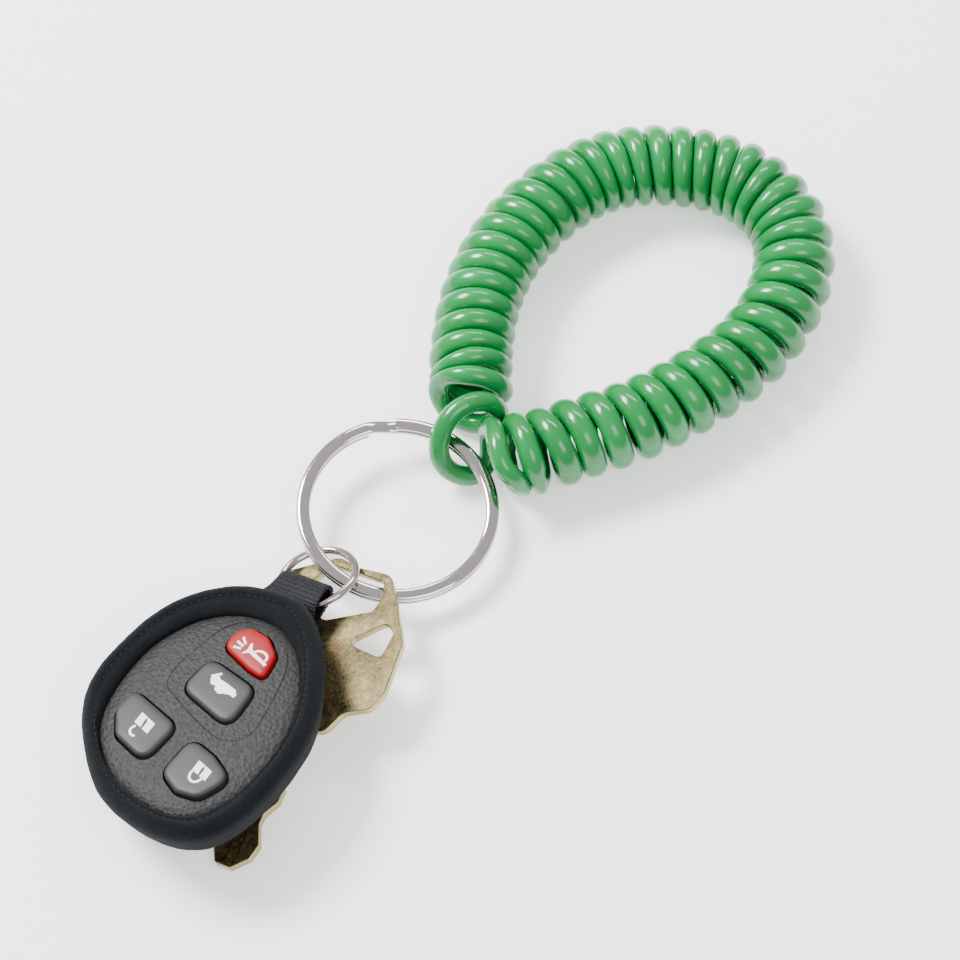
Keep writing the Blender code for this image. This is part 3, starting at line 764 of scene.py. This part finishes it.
def scatter(name, base, look, size, seed=3):
    """Lays one small rounded grain on every face of the base mesh."""
    tree = bpy.data.node_groups.new(name + "_nodes", "GeometryNodeTree")
    tree.interface.new_socket("Geometry", in_out="INPUT", socket_type="NodeSocketGeometry")
    width = tree.interface.new_socket("Size", in_out="INPUT", socket_type="NodeSocketVector")
    tree.interface.new_socket("Geometry", in_out="OUTPUT", socket_type="NodeSocketGeometry")
    nodes, links = tree.nodes, tree.links
    entry, leave = nodes.new("NodeGroupInput"), nodes.new("NodeGroupOutput")
    points = nodes.new("GeometryNodeMeshToPoints")
    points.mode = "FACES"
    links.new(entry.outputs[0], points.inputs[0])
    along = nodes.new("GeometryNodeInputNamedAttribute")
    along.data_type = "FLOAT_VECTOR"
    along.inputs["Name"].default_value = "along"
    first = nodes.new("FunctionNodeAlignRotationToVector")
    first.axis = "X"
    links.new(along.outputs["Attribute"], first.inputs["Vector"])
    second = nodes.new("FunctionNodeAlignRotationToVector")
    second.axis = "Z"
    second.pivot_axis = "X"
    links.new(first.outputs[0], second.inputs["Rotation"])
    facing = nodes.new("GeometryNodeInputNamedAttribute")
    facing.data_type = "FLOAT_VECTOR"
    facing.inputs["Name"].default_value = "facing"
    links.new(facing.outputs["Attribute"], second.inputs["Vector"])
    grain = nodes.new("GeometryNodeMeshIcoSphere")
    grain.inputs["Radius"].default_value = 0.5
    grain.inputs["Subdivisions"].default_value = 2
    vary = nodes.new("FunctionNodeRandomValue")
    vary.data_type = "FLOAT"
    vary.inputs[2].default_value = 0.9
    vary.inputs[3].default_value = 1.1
    vary.inputs["Seed"].default_value = seed
    scale = nodes.new("ShaderNodeVectorMath")
    scale.operation = "SCALE"
    links.new(entry.outputs[1], scale.inputs[0])
    links.new(vary.outputs[1], scale.inputs["Scale"])
    copies = nodes.new("GeometryNodeInstanceOnPoints")
    links.new(points.outputs[0], copies.inputs["Points"])
    links.new(grain.outputs[0], copies.inputs["Instance"])
    links.new(second.outputs[0], copies.inputs["Rotation"])
    links.new(scale.outputs[0], copies.inputs["Scale"])
    real = nodes.new("GeometryNodeRealizeInstances")
    paint = nodes.new("GeometryNodeSetMaterial")
    paint.inputs["Material"].default_value = LOOKS[look]
    links.new(copies.outputs[0], real.inputs[0])
    links.new(real.outputs[0], paint.inputs[0])
    links.new(paint.outputs[0], leave.inputs[0])
    normals = base.data.attributes.new("facing", "FLOAT_VECTOR", "FACE")
    for polygon in base.data.polygons:
        normals.data[polygon.index].vector = polygon.normal
    change = base.modifiers.new("scatter", "NODES")
    change.node_group = tree
    change[width.identifier] = size
    bpy.context.view_layer.update()
    mesh = bpy.data.meshes.new_from_object(base.evaluated_get(bpy.context.evaluated_depsgraph_get()))
    mesh.name = name
    base.modifiers.remove(change)
    bpy.data.objects.remove(base)
    mesh.shade_smooth()
    piece = bpy.data.objects.new(name, mesh)
    bpy.context.scene.collection.objects.link(piece)
    return piece


def stitch_line(path, height):
    """Small dark stitches sunk in the crease of the felt."""
    count = len(path)
    length = 0.0
    spots = []
    for index in range(count):
        a, b = path[index], path[(index + 1) % count]
        length += (b - a).length
        while length > 1.25:
            length -= 1.25
            spots.append((b - (b - a).normalized() * length, (b - a).normalized()))
    bm = bmesh.new()
    for p, way in spots:
        side = Vector((-way.y, way.x)) * 0.1
        corners = (p - way * 0.35 - side, p + way * 0.35 - side, p + way * 0.35 + side, p - way * 0.35 + side)
        bm.faces.new([bm.verts.new(REMOTE @ (Vector((c.x, c.y, height)) * MM)) for c in corners])
    mesh = bpy.data.meshes.new("stitch_base")
    bm.to_mesh(mesh)
    bm.free()
    along = mesh.attributes.new("along", "FLOAT_VECTOR", "FACE")
    for polygon in mesh.polygons:
        a, b = (mesh.vertices[v].co for v in polygon.vertices[:2])
        along.data[polygon.index].vector = (b - a).normalized()
    size = (0.85 * MM, 0.26 * MM, 0.2 * MM)
    piece = scatter("sleeve_stitches", linked("stitch_base", mesh, "web"), "web", size)
    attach(piece, "remote")


def strap_route():
    """Middle of the webbing from the upper root, round the fold and back: (v, w)."""
    half = STRAP_FOLD_W / 2
    fold_v = STRAP_FOLD_V - half - STRAP_THICK
    apart = half + STRAP_THICK / 2
    upper = [(STRAP_ROOT_V + v, w) for v, w in ((-0.7, 0.6), (0.0, 0.7), (0.6, 1.0), (1.4, apart))]
    upper += [(STRAP_ROOT_V + 1.4 + (fold_v - STRAP_ROOT_V - 1.4) * k / 4, apart) for k in range(1, 4)]
    route = [(v, STRAP_MID_W + w) for v, w in upper]
    for step in range(15):
        angle = math.radians(90 - 180 * step / 14)
        route.append((fold_v + apart * math.cos(angle), STRAP_MID_W + apart * math.sin(angle)))
    return route + [(v, STRAP_MID_W - w) for v, w in reversed(upper)]


def strap_rows(offset, columns):
    """Rows of points across the webbing, at a height above its middle."""
    route = strap_route()
    rows = []
    for index, (v, w) in enumerate(route):
        before = Vector(route[max(index - 1, 0)])
        after = Vector(route[min(index + 1, len(route) - 1)])
        along = (after - before).normalized()
        normal = Vector((-along.y, along.x))
        share = (v - STRAP_ROOT_V) / (STRAP_FOLD_V - STRAP_ROOT_V)
        twist = math.radians(STRAP_TWIST) * min(1.0, max(0.0, share * 3))
        half = STRAP_W / 2 - STRAP_TAPER * min(1.0, max(0.0, share))
        row = []
        for column in range(columns + 1):
            across = half * (2 * column / columns - 1)
            point = Vector((v, w)) + normal * offset
            row.append(REMOTE @ (Vector((STRAP_MID_U + across * math.cos(twist), point.x,
                                         point.y + across * math.sin(twist))) * MM))
        rows.append(row)
    return rows


def build_strap():
    core = STRAP_THICK / 2 - 0.14
    outer = strap_rows(core, 10)
    inner = strap_rows(-core, 10)
    rings = [a + list(reversed(b)) for a, b in zip(outer, inner)]
    mesh = loft("webbing_strap", rings, sharp=60)
    put("webbing_strap", mesh, "web", "remote", "strap", slot="black_webbing")
    fine = strap_rows(core, 12)
    dense = []
    for low, high in zip(fine, fine[1:]):
        parts = max(1, round((high[0] - low[0]).length / (0.62 * MM)))
        dense += [[a.lerp(b, k / parts) for a, b in zip(low, high)] for k in range(parts)]
    dense.append(fine[-1])
    for row in dense[::2]:
        shift = [(b - a) * 0.5 for a, b in zip(row, row[1:])]
        for point, move in zip(row[:-1], shift):
            point += move * 0.6
    size = (1.05 * MM, 0.5 * MM, 0.26 * MM)
    ribs = scatter("webbing_ribs", cell_grid("rib_base", dense, "web"), "web", size)
    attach(ribs, "remote")


def tube(name, path, radius, sides=8, closed=False):
    """A thin round bar along a path of points in the remote's frame, in mm."""
    rings = []
    count = len(path)
    for index, point in enumerate(path):
        before = path[index - 1] if index or closed else point
        after = path[(index + 1) % count] if index < count - 1 or closed else point
        along = (after - before).normalized()
        side = along.cross(Vector((0, 0, 1))).normalized()
        up = side.cross(along)
        rings.append([REMOTE @ ((point + side * (radius * math.cos(a)) + up * (radius * math.sin(a))) * MM)
                      for a in (2 * math.pi * k / sides for k in range(sides))])
    return loft(name, rings, cyclic=closed)


FACE_RISE = [(0.3, 0.0), (0.9, 0.35), (1.8, 0.62), (3.2, 0.88), (5.5, 1.08), (8.5, 1.2), (12.0, 1.26)]


def face_height(p, case):
    """Height of the domed face over a point in the remote's frame."""
    depth = min((p - q).length for q in case)
    low = FACE_RISE[0]
    for high in FACE_RISE[1:]:
        if depth < high[0]:
            share = (depth - low[0]) / (high[0] - low[0])
            return FACE_EDGE - 0.25 + low[1] + (high[1] - low[1]) * max(0.0, share)
        low = high
    return FACE_EDGE - 0.25 + FACE_RISE[-1][1]


PANEL_LINE = [
    (-6.2, 1.4), (-5.3, 0.1), (-3.1, -0.8), (2.0, -2.6), (7.8, -3.9), (10.2, -3.4), (12.0, -1.9),
    (12.8, 0.8), (12.1, 6.0), (10.6, 12.0), (8.8, 15.0), (5.6, 17.0), (1.6, 17.6), (-2.0, 16.6),
    (-4.4, 13.4), (-5.8, 8.0), (-6.5, 4.0),
]


def build_face():
    case = inset(smooth_loop(WINDOW_OUTLINE, 10), -CASE_LIP)
    face_lip = SLEEVE_TOP - FELT - 0.3
    base = FACE_EDGE - 0.25
    middle = Vector((2.0, 0.0))
    skirt = [(CASE_WALL, CASE_SPLIT + 0.3), (0.0, CASE_SPLIT + 0.3), (0.0, face_lip - 0.7), (0.3, face_lip)]
    rows = [[(middle.lerp(p, 0.2), FACE_CROWN - CASE_WALL) for p in case]]
    rows += [[(p, h) for p in inset(case, d)] for d, h in ((2.4, FACE_CROWN - CASE_WALL), (CASE_WALL, 7.2))]
    rows += [[(p, h) for p in inset(case, d)] for d, h in skirt]
    rows += [[(p, base + rise) for p in inset(case, depth)] for depth, rise in FACE_RISE[1:4]]
    rim = inset(case, FACE_RISE[3][0])
    for share in (0.12, 0.25, 0.4, 0.6, 0.8):
        rise = FACE_RISE[3][1] + (FACE_RISE[-1][1] - FACE_RISE[3][1]) * (1 - (1 - share) ** 2)
        rows.append([(p.lerp(middle, share), base + rise) for p in rim])
    rings = [[REMOTE @ (Vector((p.x, p.y, h)) * MM) for p, h in row] for row in rows]
    cover = linked("domed_face", loft("domed_face", rings, sharp=35), "case")
    for label, corners in BUTTON_OUTLINES.items():
        outline = rounded(corners, BUTTON_SOFT_CORNER)
        opening = stack("opening_cutter", REMOTE, outline, [(-BUTTON_GAP, CASE_SPLIT), (-BUTTON_GAP, 13.0)])
        apply_boolean(cover, linked("opening_cutter", opening, "case"))
    path = [Vector((p.x, p.y, face_height(p, case) + 0.02)) for p in smooth_loop(PANEL_LINE, 5)]
    apply_boolean(cover, linked("line_cutter", tube("line_cutter", path, 0.17, closed=True), "case"))
    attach(cover, "remote")
    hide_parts("remote_upper_case")


def strokes(lines, width, height):
    """Flat ribbons and filled patches just above a button: the printed symbol."""
    bm = bmesh.new()

    def prism(points):
        low = [bm.verts.new(REMOTE @ (Vector((p.x, p.y, height - 0.03)) * MM)) for p in points]
        high = [bm.verts.new(REMOTE @ (Vector((p.x, p.y, height + 0.03)) * MM)) for p in points]
        bm.faces.new(list(reversed(low)))
        bm.faces.new(high)
        for k in range(len(points)):
            n = (k + 1) % len(points)
            bm.faces.new((low[k], low[n], high[n], high[k]))

    for line in lines:
        points = [Vector(p) for p in line]
        if len(points) > 2 and points[0] == points[-1]:
            prism(points[:-1])
            continue
        left, right = [], []
        for index, point in enumerate(points):
            along = (points[min(index + 1, len(points) - 1)] - points[max(index - 1, 0)]).normalized()
            side = Vector((-along.y, along.x)) * width / 2
            left.append(point + side)
            right.append(point - side)
        prism(left + list(reversed(right)))
    bmesh.ops.recalc_face_normals(bm, faces=bm.faces)
    return bm


def bow(centre, radius, start, end, steps=10, squash=1.0):
    return [(centre[0] + radius * math.cos(math.radians(start + (end - start) * k / steps)),
             centre[1] + radius * squash * math.sin(math.radians(start + (end - start) * k / steps)))
            for k in range(steps + 1)]


SYMBOLS = {
    "panic": [
        [(0.3, 11.5), (1.7, 11.75)], [(0.3, 12.7), (1.75, 12.3)], [(0.7, 13.8), (1.9, 12.85)],
        [(2.3, 11.0), (3.4, 11.75), (4.9, 11.35), (6.9, 10.9), (7.2, 10.7), (7.5, 11.2), (7.1, 11.45),
         (4.9, 12.05), (3.6, 12.45), (2.9, 13.6), (2.6, 13.3), (2.8, 12.2), (2.3, 11.0)],
        bow((5.5, 12.0), 1.35, 175, -20, 12, 0.72),
    ],
    "trunk": [
        [(1.2, 5.6), (0.7, 4.6), (1.3, 3.7), (2.3, 3.8), (2.6, 3.1), (3.6, 2.75), (4.5, 3.2), (5.5, 3.5),
         (6.4, 3.3), (6.6, 3.9), (5.9, 4.7), (4.9, 4.9), (3.6, 5.1), (2.3, 5.2), (1.8, 5.6), (1.2, 5.6)],
        [(0.5, 5.0), (1.9, 6.2)],
    ],
    "unlock": [
        [(-5.5, -6.3), (-4.1, -6.65), (-4.2, -7.5), (-4.0, -8.8), (-5.5, -8.45), (-5.5, -6.3)],
        [(-4.1, -6.65), (-2.2, -7.1), (-2.2, -9.25), (-3.6, -8.9), (-3.6, -7.4), (-4.1, -6.65)],
        bow((-4.3, -9.75), 0.95, 125, 300, 12),
    ],
    "lock": [
        [(8.7, -9.1), (10.1, -9.4), (10.0, -10.2), (10.1, -11.4), (8.7, -11.1), (8.7, -9.1)],
        [(10.1, -9.4), (11.9, -9.8), (11.9, -11.8), (10.5, -11.5), (10.6, -10.2), (10.1, -9.4)],
        bow((10.0, -11.6), 1.15, 165, 375, 14, 1.1),
    ],
}


def build_buttons():
    for label, corners in BUTTON_OUTLINES.items():
        outline = rounded(corners, BUTTON_SOFT_CORNER)
        top = FACE_CROWN + BUTTON_PROUD
        head_low = CASE_SPLIT + 0.7 + 0.3 + BUTTON_TRAVEL
        rows = [(outline, head_low)]
        rows += [(inset(outline, d), top - drop) for d, drop in BUTTON_EDGE]
        middle = sum(outline, Vector((0.0, 0.0))) / len(outline)
        rim = inset(outline, BUTTON_EDGE[-1][0])
        for share, drop in ((0.12, 0.03), (0.3, 0.0)):
            rows.append(([p.lerp(middle, share) for p in rim], top - drop))
        rings = [[REMOTE @ (Vector((p.x, p.y, height)) * MM) for p in row] for row, height in rows]
        paint = "red" if label == "panic" else "grey"
        put(f"satin_button_{label}", loft(f"satin_button_{label}", rings, sharp=60), paint,
            f"{label}_button", f"button_{label}", slot="button_red" if label == "panic" else "button_grey")
        mesh = finished(f"printed_{label}_symbol", strokes(SYMBOLS[label], 0.42, top), 30)
        put(f"printed_{label}_symbol", mesh, "white", f"{label}_button")


# ---- the CAD nodes that stay -----------------------------------------------------------
NODE_LOOKS = {
    "sleeve_back": "felt", "remote_lower_case": "case", "circuit_board": "board", "keypad_membrane": "rubber",
    "coin_cell": "steel", "contact_plus": "steel", "contact_minus": "steel",
}


def dress_nodes():
    for name, look in NODE_LOOKS.items():
        slots = frame["nodes"][name].data.materials
        if not slots:
            slots.append(LOOKS[look])
        for index in range(len(slots)):
            slots[index] = LOOKS[look]


# ---- room, lights and camera --------------------------------------------------------------
CAMERA_ELEVATION = 60.0
CAMERA_DISTANCE = 0.6
CAMERA_LENS = 128.25


def area_light(name, place, aim, size, power, colour=(1, 1, 1)):
    data = bpy.data.lights.new(name, "AREA")
    data.shape = "RECTANGLE"
    data.size, data.size_y = size
    data.energy = power
    data.color = colour
    lamp = bpy.data.objects.new(name, data)
    lamp.location = place
    lamp.rotation_euler = (Vector(aim) - Vector(place)).to_track_quat("-Z", "Y").to_euler()
    bpy.context.scene.collection.objects.link(lamp)


def build_room():
    bm = bmesh.new()
    half = 3.0
    bm.faces.new([bm.verts.new((x * half, y * half, 0.0)) for x, y in ((-1, -1), (1, -1), (1, 1), (-1, 1))])
    mesh = bpy.data.meshes.new("tabletop")
    bm.to_mesh(mesh)
    bm.free()
    linked("tabletop", mesh, "floor")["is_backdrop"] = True
    area_light("key_softbox", (-0.55, 0.35, 0.75), (0, 0, 0), (0.42, 0.3), 24.0)
    area_light("fill_softbox", (0.35, -0.5, 0.8), (0, 0, 0), (0.5, 0.5), 4.0)
    area_light("top_strip", (0.1, 0.6, 0.6), (0, 0, 0), (0.5, 0.12), 3.0)
    sky = bpy.data.worlds.new("studio")
    sky.use_nodes = True
    sky.node_tree.nodes["Background"].inputs["Color"].default_value = (1, 1, 1, 1)
    sky.node_tree.nodes["Background"].inputs["Strength"].default_value = 0.8
    bpy.context.scene.world = sky
    data = bpy.data.cameras.new("camera")
    data.sensor_width = 36.0
    data.lens = CAMERA_LENS
    data.clip_start = 0.01
    camera = bpy.data.objects.new("camera", data)
    lift = math.radians(CAMERA_ELEVATION)
    target = world(0, 0, 0)
    camera.location = target + Vector((0, -math.cos(lift), math.sin(lift))) * CAMERA_DISTANCE
    camera.rotation_euler = (target - camera.location).to_track_quat("-Z", "Y").to_euler()
    bpy.context.scene.collection.objects.link(camera)
    bpy.context.scene.camera = camera


build_loop()
build_split_ring()
build_jump_ring()
build_key()
build_sleeve()
build_strap()
build_face()
build_buttons()
dress_nodes()
build_room()
bpy.context.view_layer.update()
boxes = {"cad": CAD_BOX, "visual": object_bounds()}
